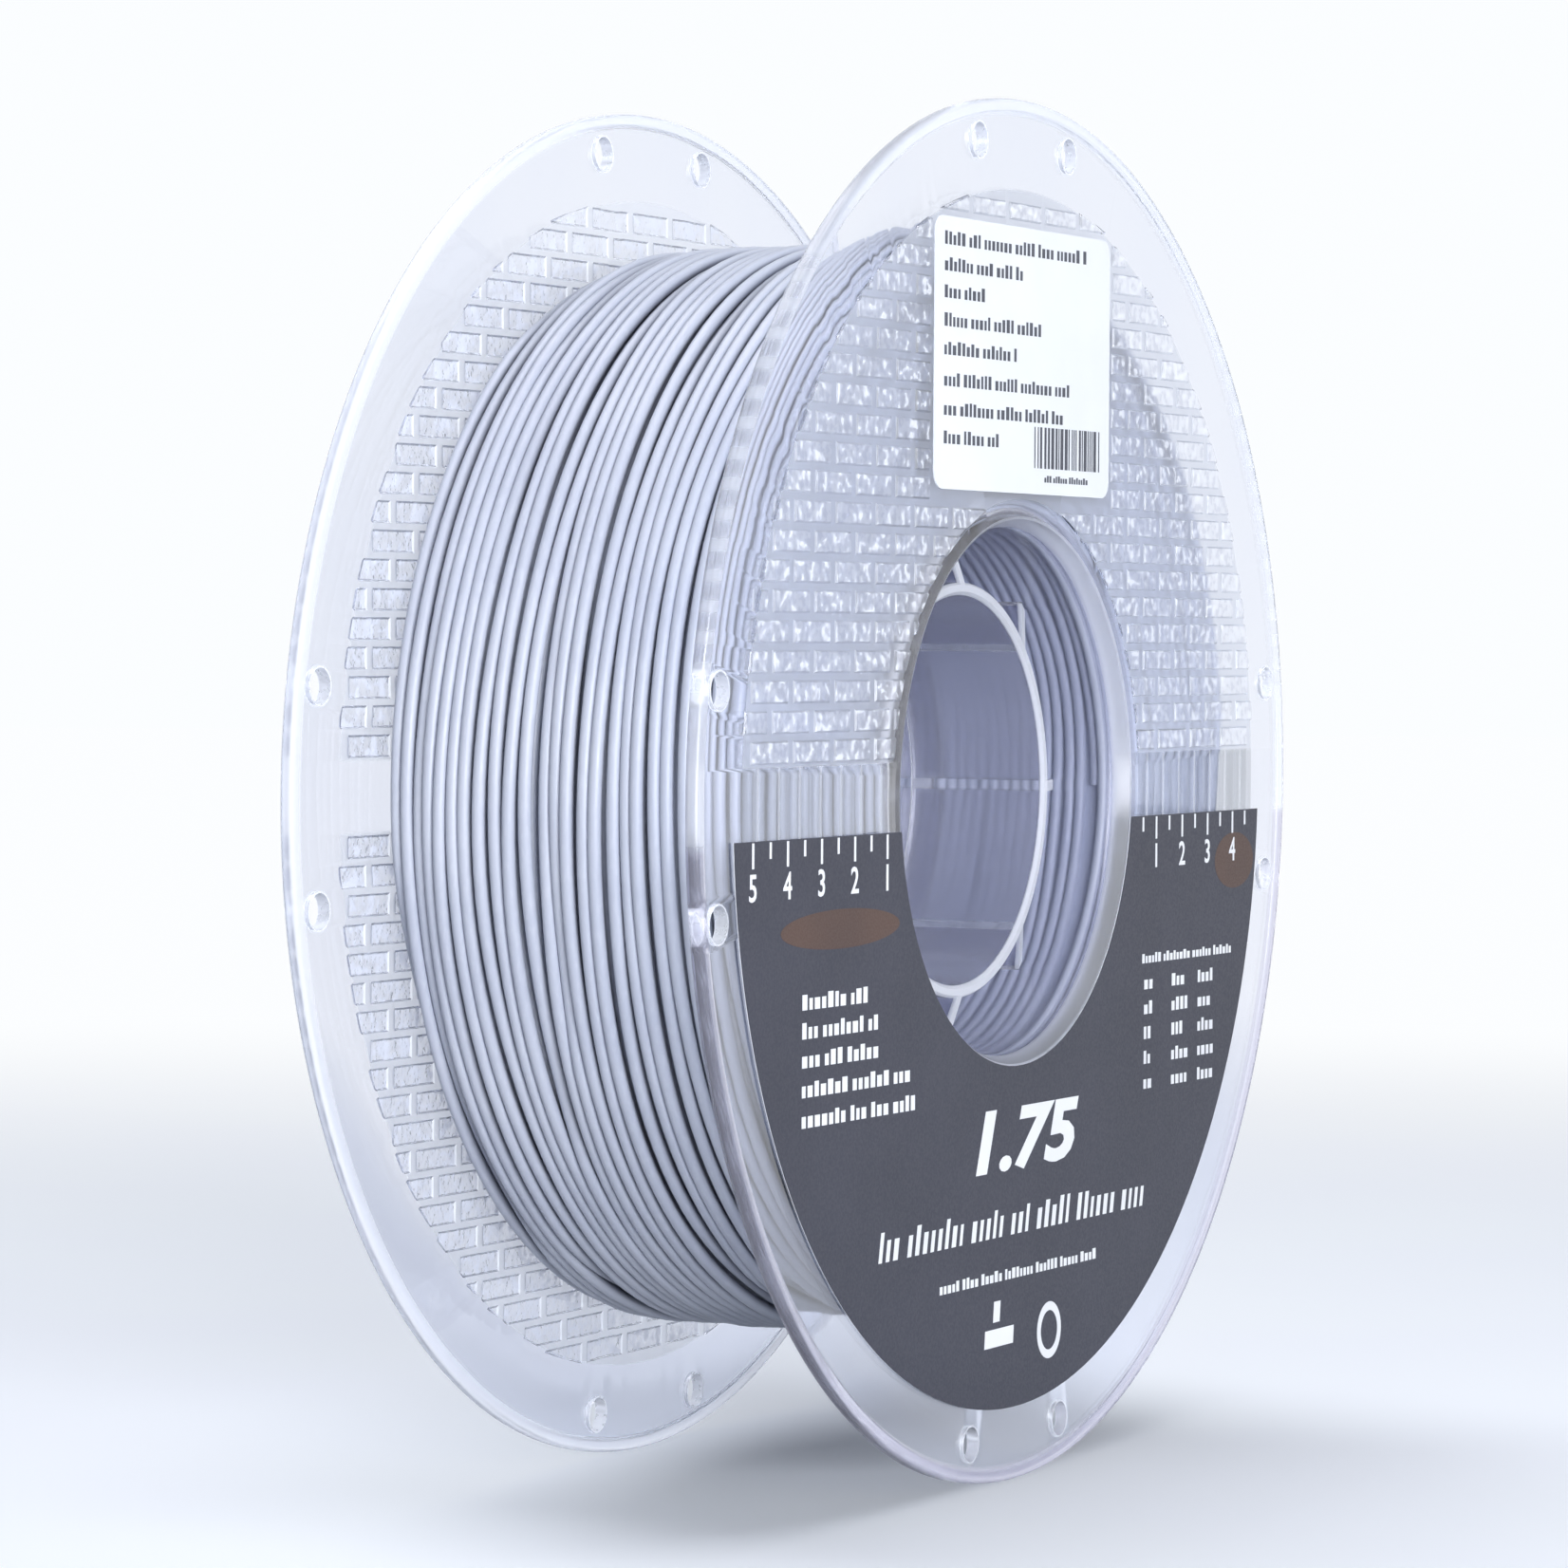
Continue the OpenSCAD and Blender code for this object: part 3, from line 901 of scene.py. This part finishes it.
def relief_zones(tree, at, zone):
    """Adds the zones of the brick relief and of the plain sight strip with its lines."""
    face = HALF_W - FACE_RECESS
    outside = mapped(tree, at.depth, face - 0.4 * MM, face - 0.1 * MM, 0, 1)
    ring = product(tree, mapped(tree, at.radius, TILES_IN_R, TILES_IN_R + 0.3 * MM, 0, 1),
                   mapped(tree, at.radius, TILES_OUT_R - 0.5 * MM, TILES_OUT_R, 1, 0))
    rows = mapped(tree, at.high, STRIP_HALF - 0.2 * MM, STRIP_HALF + 0.2 * MM, 0, 1)
    zone.bricks = product(tree, outside, ring, rows)
    zone.mortar = product(tree, zone.bricks,
                          mapped(tree, at.depth, face + 0.25 * TILE_RISE, face + 0.9 * TILE_RISE, 1, 0))
    zone.faces = maths(tree, "SUBTRACT", zone.bricks, zone.mortar)
    zone.strip = product(tree, inverse(tree, rows), ring, mapped(tree, at.y, -30 * MM, -28 * MM, 1, 0))
    half = LINE_PITCH / 2
    to_line = maths(tree, "PINGPONG", at.x, half)
    zone.lines = product(tree, zone.strip, mapped(tree, to_line, half - 0.5 * MM, half - 0.25 * MM, 0, 1))


def hub_zones(tree, at, zone):
    """Adds the zones round the bore: inside the drum, sleeve, mouth, and the edge of sleeve and ribs."""
    zone.hub = mapped(tree, at.radius, DRUM_OR + 0.3 * MM, DRUM_OR + 0.6 * MM, 1, 0)
    zone.sleeve = mapped(tree, at.radius, SLEEVE_OR + 0.2 * MM, SLEEVE_OR + 0.4 * MM, 1, 0)
    mouth_end = HALF_W - MOUTH_DEPTH
    zone.mouth = product(tree, mapped(tree, at.radius, MOUTH_R + 0.3 * MM, MOUTH_R + 0.5 * MM, 1, 0),
                         mapped(tree, at.depth, mouth_end - 0.4 * MM, mouth_end, 0, 1))
    drop = product(tree, mapped(tree, at.radius, SLEEVE_OR, DRUM_IR, 0, 1, smooth=False), RIB_DROP)
    below = maths(tree, "SUBTRACT", HALF_W - SLEEVE_DEPTH, total(tree, at.depth, drop))
    zone.hub_edge = product(tree, mapped(tree, below, 0.3 * MM, 0.8 * MM, 1, 0),
                            mapped(tree, at.radius, DRUM_IR - 0.4 * MM, DRUM_IR - 0.2 * MM, 1, 0))


def rim_zones(tree, at, zone):
    """Adds the filament holes, the bead beside the dark label where its shade is painted, and the haze of
    rim and foot, with painted bars of the brick courses on the front rim.
    """
    angle = math.radians(HOLE_ANGLE)
    # One distance serves all eight holes, because they mirror in both axes and in the diagonals
    outer, inner = largest(tree, at.wide, at.high), maths(tree, "MINIMUM", at.wide, at.high)
    across = maths(tree, "SUBTRACT", outer, HOLE_CIRCLE_R * math.cos(angle))
    along = maths(tree, "SUBTRACT", inner, HOLE_CIRCLE_R * math.sin(angle))
    low_front = product(tree, mapped(tree, at.z, -60 * MM, -25 * MM, LOW_HOLE_LOSS, 0), zone.front)
    near_hole = mapped(tree, diagonal(tree, across, along), HOLE_R + 0.2 * MM, HOLE_R + 0.4 * MM, 1, 0)
    zone.hole = product(tree, near_hole, inverse(tree, low_front))
    bead = mapped(tree, at.radius, SPOOL_R - RIM_W - FACE_RECESS, SPOOL_R - RIM_W, 0, 1)
    below_top = mapped(tree, at.z, LABEL_TOP - 1.5 * MM, LABEL_TOP + 0.5 * MM, 1, 0)
    label_shade_mask = product(tree, below_top, zone.front)
    zone.label_rim = product(tree, bead, label_shade_mask)
    # Painted refraction: the courses of the bricks beside the front rim, as the rim would refract them,
    # are painted on it as faint bars of less haze
    course = maths(tree, "PINGPONG", at.z, TILE_H / 2)
    courses = mapped(tree, course, 0.4 * MM, 1.6 * MM, PAINTED_COURSE_SHADE, 0)
    beside = product(tree, mapped(tree, at.wide, 60 * MM, 80 * MM, 0, 1),
                     mapped(tree, at.z, 14 * MM, 16 * MM, 0, 1), zone.front, courses)
    # Painted shade: the rim keeps less of its haze beside the dark label
    keep = mapped(tree, label_shade_mask, 0, 1, 1, PAINTED_LABEL_SHADE_KEEP, smooth=False)
    zone.rim = product(tree, bead, inverse(tree, beside), keep)
    zone.foot = product(tree, mapped(tree, at.z, -92 * MM, -80 * MM, 1, 0), zone.front)


def clear_zones(tree):
    """The zones of the clear halves, each a share from 0 to 1 in the object's own coordinates."""
    x, y, z = coordinates(tree)
    at = SimpleNamespace(x=x, y=y, z=z, wide=maths(tree, "ABSOLUTE", x), high=maths(tree, "ABSOLUTE", z),
                         depth=maths(tree, "ABSOLUTE", y), radius=diagonal(tree, x, z))
    zone = SimpleNamespace(rear=mapped(tree, y, -1 * MM, 1 * MM, 0, 1))
    zone.front = inverse(tree, zone.rear)
    relief_zones(tree, at, zone)
    hub_zones(tree, at, zone)
    rim_zones(tree, at, zone)
    return zone


def clear_colour(tree, zone, sparkle_noise):
    """Tint of the clear plastic."""
    colour = blended(tree, mottle(tree, 26), *CLEAR_TINTS)
    # Painted shade inside the hub
    colour = blended(tree, zone.hub, colour, HUB_PAINTED_SHADE_TINT)
    colour = blended(tree, zone.mortar, colour, blended(tree, zone.rear, *MORTAR_TINTS))
    colour = blended(tree, product(tree, zone.faces, zone.front), colour, FRONT_BRICK_TINT)
    # Painted sparkle: dark specks on the brick faces
    painted_dark_sparkle = product(tree, mapped(tree, sparkle_noise, 0.38, 0.50, 1, 0), zone.faces)
    colour = blended(tree, painted_dark_sparkle, colour, blended(tree, zone.rear, *PAINTED_SPARKLE_TINTS))
    colour = blended(tree, zone.strip, colour, STRIP_TINT)
    # Painted shade: the rim beside the dark label is tinted darker
    return blended(tree, zone.label_rim, colour, PAINTED_LABEL_SHADE_TINT)


def clear_haze(tree, zone, sparkle_noise, matt):
    """Share of matt white in the clear plastic."""
    # Painted glints: matt white specks, and blobs on the rear, stand in for the sparkle of the pebbled
    # brick faces; the strip's lines join them
    painted_glint_specks = product(tree, mapped(tree, sparkle_noise, 0.53, 0.63, 0, 0.5), zone.faces)
    painted_glint_blobs = product(tree, mapped(tree, noise(tree, 330, 1), 0.56, 0.68, 0, 0.5), zone.faces, zone.rear)
    glints_and_lines = largest(tree, painted_glint_specks, painted_glint_blobs, product(tree, zone.lines, LINE_HAZE))
    even = total(tree, product(tree, matt, BRICK_HAZE), glints_and_lines, product(tree, zone.rim, RIM_HAZE))
    frost = product(tree, largest(tree, zone.hub_edge, zone.hole), FROST_HAZE)
    foot = product(tree, zone.foot, FOOT_HAZE)
    return total(tree, largest(tree, even, product(tree, zone.mouth, MOUTH_HAZE), frost), foot)


def clear_roughness(tree, zone, matt):
    """Roughness of the clear plastic."""
    polish = mapped(tree, noise(tree, 900, 4), 0.3, 0.7, 0.015, 0.05)
    worn = largest(tree, product(tree, matt, BRICK_ROUGH), product(tree, zone.hub, HUB_ROUGH))
    frost = largest(tree, zone.mouth, zone.hub_edge, zone.hole)
    return total(tree, polish, worn, product(tree, zone.rim, RIM_ROUGH), product(tree, frost, FROST_ROUGH))


def clear_plastic():
    """Moulded clear plastic: slightly blue and wavy, with pebbled bricks whose sparkle is painted, a matt
    hub darkened with painted shade, frosted edges, painted shade on the rim beside the dark label and
    painted bars of the brick courses on the front rim.
    """
    mat, tree, out = new_material("clear_plastic_look")
    zone = clear_zones(tree)
    # Noise of the painted sparkle on the bricks
    sparkle_noise = noise(tree, 760, 2)
    matt = largest(tree, zone.bricks, product(tree, zone.sleeve, SLEEVE_MATT))
    wave = bumped(tree, noise(tree, 55, 2), 0.12, 0.4 * MM)
    pebble = product(tree, noise(tree, 800, 2), zone.faces)
    glass = surfaced(tree, clear_colour(tree, zone, sparkle_noise), clear_roughness(tree, zone, matt),
                     bumped(tree, pebble, 0.5, 0.3 * MM, wave), IOR=1.49, Transmission_Weight=1.0)
    haze = node(tree, "BsdfDiffuse")
    # Painted shade: beside the dark label the haze is greyer
    tree.links.new(blended(tree, zone.label_rim, HAZE_COLOUR, PAINTED_LABEL_SHADE_HAZE), haze.inputs["Color"])
    hazed = mixed(tree, clear_haze(tree, zone, sparkle_noise, matt), glass, haze.outputs["BSDF"])
    # Shadow rays and bounced light pass straight through, so the pieces inside and the floor stay lit
    clear = node(tree, "BsdfTransparent", Color=SHADOW_TINT)
    path = tree.nodes.new("ShaderNodeLightPath").outputs
    lets_by = largest(tree, path["Is Shadow Ray"], path["Is Diffuse Ray"])
    tree.links.new(mixed(tree, lets_by, hazed, clear.outputs["BSDF"]), out.inputs["Surface"])
    return mat


# ---- filament and paper
FILAMENT_DEEP = (0.425, 0.455, 0.55)
FILAMENT_PALE = (0.475, 0.505, 0.595)
FILAMENT_FLECK = (0.54, 0.57, 0.645)
# Painted shade: the colour that darkens the top layer's grooves and sunk turns
FILAMENT_PAINTED_SHADE = (0.16, 0.175, 0.235)


def groove_share(tree):
    """Share of painted shade in the top layer's grooves and on its sunk turns, near the top and bottom of
    the winding.
    """
    x, y, z = coordinates(tree)
    droop = mapped(tree, maths(tree, "ABSOLUTE", y), DROOP_Y, HALF_W, 0, EDGE_DROOP)
    level = total(tree, diagonal(tree, x, z), droop)
    deep_shade = mapped(tree, level, TOP_R - 0.8 * MM, TOP_R + 0.6 * MM, 0.9, 0)
    outside = mapped(tree, level, TOP_R - 3.4 * MM, TOP_R - 2.8 * MM, 0, 1)
    ends = mapped(tree, maths(tree, "ABSOLUTE", z), 30 * MM, 60 * MM, 0, 1)
    return product(tree, deep_shade, outside, ends)


def filament_plastic():
    """Silver-grey extruded strand: satin, with faint streaks along it, and painted shade in its grooves
    near the top and bottom.
    """
    mat, tree, out = new_material("filament_look")
    fine = noise(tree, 1500, 3, stretch=(0.35, 1.4, 0.35))
    colour = blended(tree, mottle(tree, 45, 2), FILAMENT_DEEP, FILAMENT_PALE)
    colour = blended(tree, mapped(tree, fine, 0.45, 0.75, 0, 0.35), colour, FILAMENT_FLECK)
    # Painted shade in the grooves and on the sunk turns, towards the top and bottom of the winding
    colour = blended(tree, groove_share(tree), colour, FILAMENT_PAINTED_SHADE)
    body = surfaced(tree, colour, mapped(tree, fine, 0.3, 0.7, 0.32, 0.46),
                    bumped(tree, fine, 0.12, 0.05 * MM), IOR=1.46)
    tree.links.new(body, out.inputs["Surface"])
    return mat


def paper(name, dark, pale, rough, scale, bump, back=None):
    """Printed label stock: a mottled colour with the fine tooth of its film; back tints its back."""
    mat, tree, out = new_material(name)
    tooth = noise(tree, scale, 4)
    colour = blended(tree, mottle(tree, 60), dark, pale)
    if back:
        middle = (LABEL_Y + FACE_Y) / 2
        behind = mapped(tree, coordinates(tree)[1], middle, middle + 0.02 * MM, 0, 1)
        colour = blended(tree, behind, colour, back)
    body = surfaced(tree, colour, mapped(tree, tooth, 0.3, 0.7, rough - 0.06, rough + 0.06),
                    bumped(tree, tooth, bump, 0.03 * MM), IOR=1.45)
    tree.links.new(body, out.inputs["Surface"])
    return mat


# ---- the object
def dressed(obj, material, replaces=()):
    """Gives a piece its material and its body, and hides the CAD nodes it stands for."""
    obj.data.materials.clear()
    obj.data.materials.append(material)
    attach(obj, "root")
    if replaces:
        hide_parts(*replaces)


def repaint(name, material):
    """A CAD node that stays, with a better material in each of its slots."""
    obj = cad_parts[name]
    if not obj.material_slots:
        obj.data.materials.append(material)
    for place in obj.material_slots:
        place.material = material


clear_look = clear_plastic()
filament_look = filament_plastic()
dark_look = paper("dark_label_look", (0.029, 0.031, 0.048), (0.034, 0.036, 0.055), 0.5, 2600, 0.15,
                  back=(0.82, 0.84, 0.88))
white_look = paper("white_label_look", (0.76, 0.79, 0.84), (0.79, 0.82, 0.87), 0.5, 2200, 0.1)
ink_white = paper("white_ink_look", (0.78, 0.80, 0.85), (0.84, 0.86, 0.90), 0.45, 3000, 0.1)
ink_black = paper("black_ink_look", (0.05, 0.055, 0.075), (0.07, 0.075, 0.10), 0.5, 3000, 0.1)
ink_orange = paper("orange_ink_look", (0.062, 0.034, 0.028), (0.078, 0.042, 0.032), 0.5, 3000, 0.1)

dressed(spool_half("spool_half_front", True), clear_look, ("front_half",))
dressed(spool_half("spool_half_rear", False), clear_look, ("rear_half",))
top = add_mesh("winding_top_layer", *top_layer(), smooth_angle=STRAND_SMOOTH)
dressed(top, filament_look, ("filament_outer_layer",))
buried_parts = merged([under_layer(), side_rings(), inner_layer(), coil_body()])
buried = add_mesh("winding_buried_layers", *buried_parts, smooth_angle=STRAND_SMOOTH)
dressed(buried, filament_look, ("filament_core",))
repaint("face_label", dark_look)
repaint("note_label", white_look)
label_print = merged([label_marks(), ring_mark(10.8 * MM, -79.5 * MM, 4.2 * MM, 2.9 * MM)])
dressed(add_mesh("label_print", *label_print), ink_white)
dressed(add_mesh("label_accents", *label_accents()), ink_orange)
dressed(add_mesh("note_print", *note_marks()), ink_black)


# ---- floor, light and camera
FLOOR_REACH = 6.0
FADE_NEAR, FADE_FAR = 0.30, 0.95
FLOOR_TINTS = (0.93, 0.955, 1.0), (0.94, 0.97, 1.0)
FLOOR_BOUNCE = (0.34, 0.355, 0.385)
BACK_LIGHT, FRONT_LIGHT, TOP_LIGHT = (0.92, 0.945, 1.0), (2.25, 2.3, 2.42), (0.12, 0.13, 0.15)
BACKGROUND = (0.965, 0.985, 1, 1)


def floor_material():
    """Pale floor that takes the shadow, and far from the object goes over into the white background."""
    mat, tree, out = new_material("floor_look")
    place = tree.nodes.new("ShaderNodeTexCoord").outputs["Object"]
    length = node(tree, "VectorMath", operation="LENGTH")
    tree.links.new(place, length.inputs[0])
    far = mapped(tree, length.outputs["Value"], FADE_NEAR, FADE_FAR, 0, 1)
    colour = blended(tree, mottle(tree, 9, 2), *FLOOR_TINTS)
    body = node(tree, "BsdfDiffuse")
    bounced = tree.nodes.new("ShaderNodeLightPath").outputs["Is Diffuse Ray"]
    tree.links.new(blended(tree, bounced, colour, FLOOR_BOUNCE), body.inputs["Color"])
    white = node(tree, "Emission", Color=(0.97, 0.985, 1, 1), Strength=1.0)
    share = product(tree, far, seen_rays(tree))
    tree.links.new(mixed(tree, share, body.outputs[0], white.outputs[0]), out.inputs["Surface"])
    return mat


def make_floor():
    """A wide floor under the rims."""
    steps = 96
    edge = arc(0, 0, FLOOR_REACH, 0, 360 * (steps - 1) / steps, steps - 1)
    verts = [(0, 0, -SPOOL_R)] + [(x, y, -SPOOL_R) for x, y in edge]
    faces = [(0, i + 1, (i + 1) % steps + 1) for i in range(steps)]
    floor = add_mesh("floor", verts, faces)
    floor.data.materials.append(floor_material())


def make_world():
    """White to the camera and in clear and glossy pieces; on all else a soft blue light from the front."""
    world = bpy.data.worlds.new("studio")
    bpy.context.scene.world = world
    world.use_nodes = True
    tree = world.node_tree
    tree.nodes.clear()
    out = tree.nodes.new("ShaderNodeOutputWorld")
    x, y, up = coordinates(tree, "Generated")
    light = node(tree, "Background", Strength=1.0)
    front = mapped(tree, total(tree, x, y), -1.4, 1.2, 1, 0, smooth=False)
    horizon = blended(tree, front, BACK_LIGHT, FRONT_LIGHT)
    sky = blended(tree, mapped(tree, up, 0.0, 0.41, 0, 1, smooth=False), horizon, TOP_LIGHT)
    tree.links.new(sky, light.inputs["Color"])
    white = node(tree, "Background", Color=BACKGROUND, Strength=1.0)
    tree.links.new(mixed(tree, seen_rays(tree), light.outputs[0], white.outputs[0]), out.inputs["Surface"])


def area_lamp(name, place, aim, size, power, colour):
    """A rectangular lamp that points at aim."""
    lamp = bpy.data.lights.new(name, "AREA")
    lamp.shape = "RECTANGLE"
    lamp.size, lamp.size_y = size
    lamp.energy = power
    lamp.color = colour
    obj = bpy.data.objects.new(name, lamp)
    bpy.context.scene.collection.objects.link(obj)
    obj.location = place
    obj.rotation_mode = "QUATERNION"
    obj.rotation_quaternion = (Vector(aim) - Vector(place)).to_track_quat("-Z", "Y")


CAMERA_AZ, CAMERA_EL, CAMERA_ROLL = -62.682, 1.58, 0.352
CAMERA_DIST = 816.97 * MM
CAMERA_RIGHT, CAMERA_UP = -6.373 * MM, 0.537 * MM
CAMERA_FOCUS_PX, IMAGE_PX, SENSOR = 5825.7, 1652, 36.0


def make_camera():
    """The photograph's camera, as recovered from its ellipses."""
    a, e, t = (math.radians(v) for v in (CAMERA_AZ, CAMERA_EL, CAMERA_ROLL))
    back = Vector((math.sin(a) * math.cos(e), -math.cos(a) * math.cos(e), math.sin(e)))
    level = Vector((math.cos(a), math.sin(a), 0))
    above = back.cross(level)
    right = math.cos(t) * level + math.sin(t) * above
    up = -math.sin(t) * level + math.cos(t) * above
    data = bpy.data.cameras.new("camera")
    data.sensor_fit = "HORIZONTAL"
    data.sensor_width = SENSOR
    data.lens = CAMERA_FOCUS_PX / IMAGE_PX * SENSOR
    data.clip_start, data.clip_end = 0.01, 50
    camera = bpy.data.objects.new("camera", data)
    bpy.context.scene.collection.objects.link(camera)
    place = right * CAMERA_RIGHT + up * CAMERA_UP + back * CAMERA_DIST
    turn = Matrix((right, up, back)).transposed().to_4x4()
    camera.matrix_world = Matrix.Translation(place) @ turn
    bpy.context.scene.camera = camera


make_floor()
make_world()
area_lamp("key", (0.08, 0.26, 1.55), (0, 0, 0), (0.9, 2.0), 20.8, (0.95, 0.96, 1.0))
area_lamp("fill", (-0.78, -0.82, 0.14), (0, 0, 0), (0.6, 0.6), 15.1, (0.97, 0.98, 1.0))
make_camera()
bpy.context.scene.view_settings.view_transform = "Standard"
for kind, count in (("max", 32), ("transmission", 32), ("glossy", 16), ("transparent_max", 32)):
    setattr(bpy.context.scene.cycles, kind + "_bounces", count)
